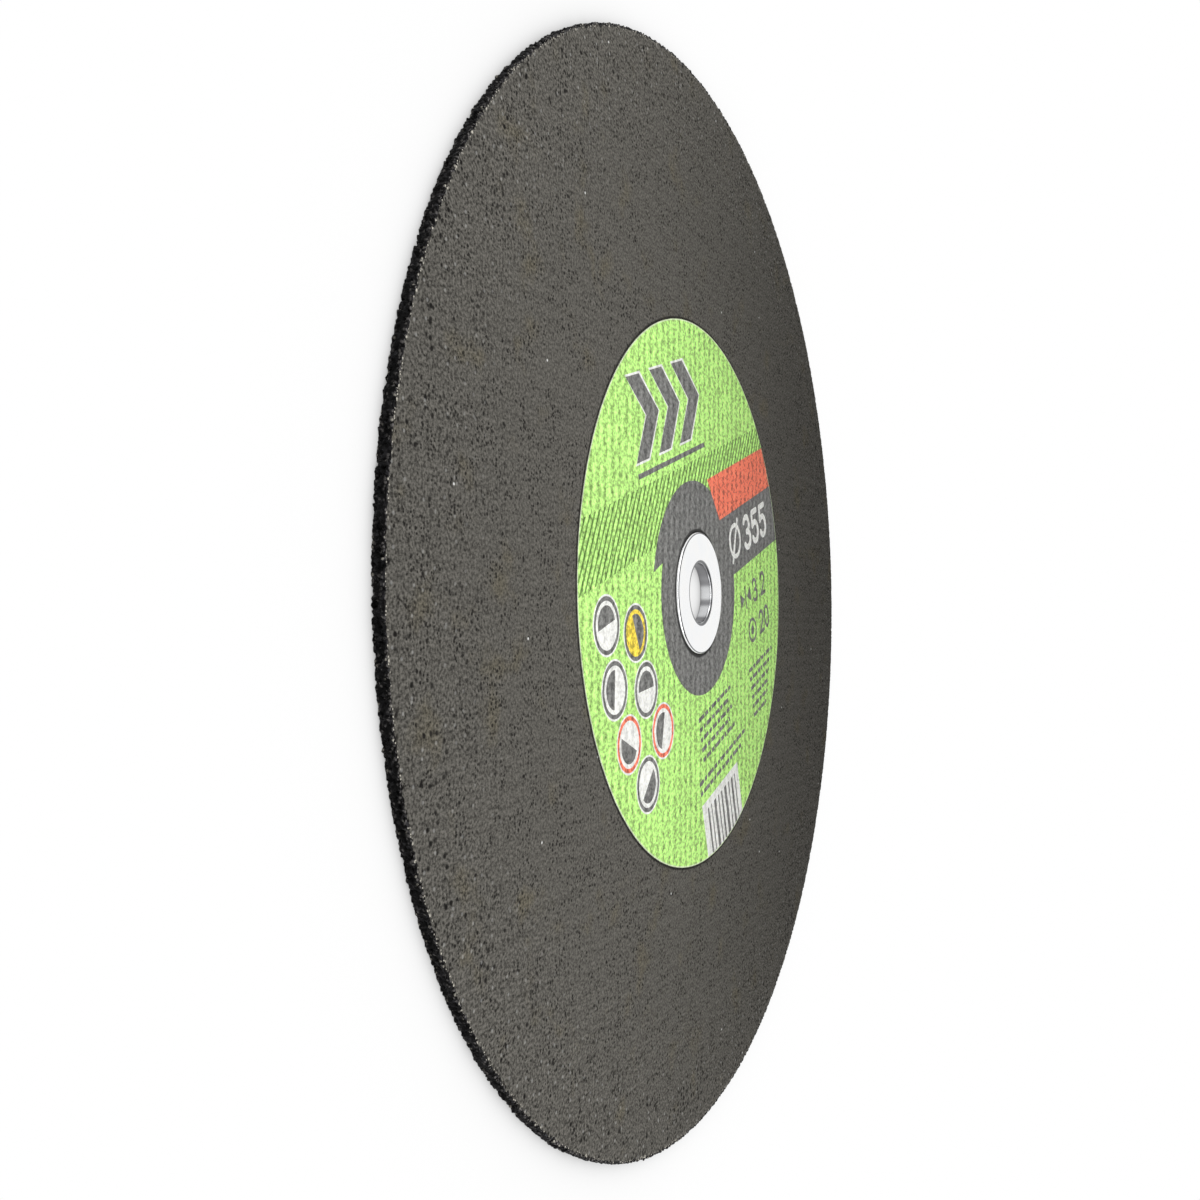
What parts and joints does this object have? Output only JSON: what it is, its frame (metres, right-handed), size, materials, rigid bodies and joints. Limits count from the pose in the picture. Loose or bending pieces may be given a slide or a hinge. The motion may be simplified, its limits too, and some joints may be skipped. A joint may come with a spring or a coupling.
{
  "type": "cut-off wheel",
  "caption": "Thin round reinforced abrasive wheel with a printed paper label and a flanged steel bushing that reduces its arbor hole, for cutting metal or masonry.",
  "frame": {"origin": "on the wheel's axis at its back face, which is the face it lies on", "axes": "+Z along the wheel's axis, out of the label side; +X and +Y lie in the back face"},
  "size_m": [0.3556, 0.3556, 0.0042],
  "materials": {
    "abrasive": "rough resin-bonded abrasive grain, dark grey, with a faint weave of moulded-in glass cloth",
    "label_paper": "matt printed paper, lime green with dark grey and orange-red fields",
    "plated_steel": "bright zinc plate with fine turning marks"
  },
  "bodies": {
    "root": {"abrasive_disc": "abrasive", "label": "label_paper", "bushing": "plated_steel"}
  },
  "joints": []
}
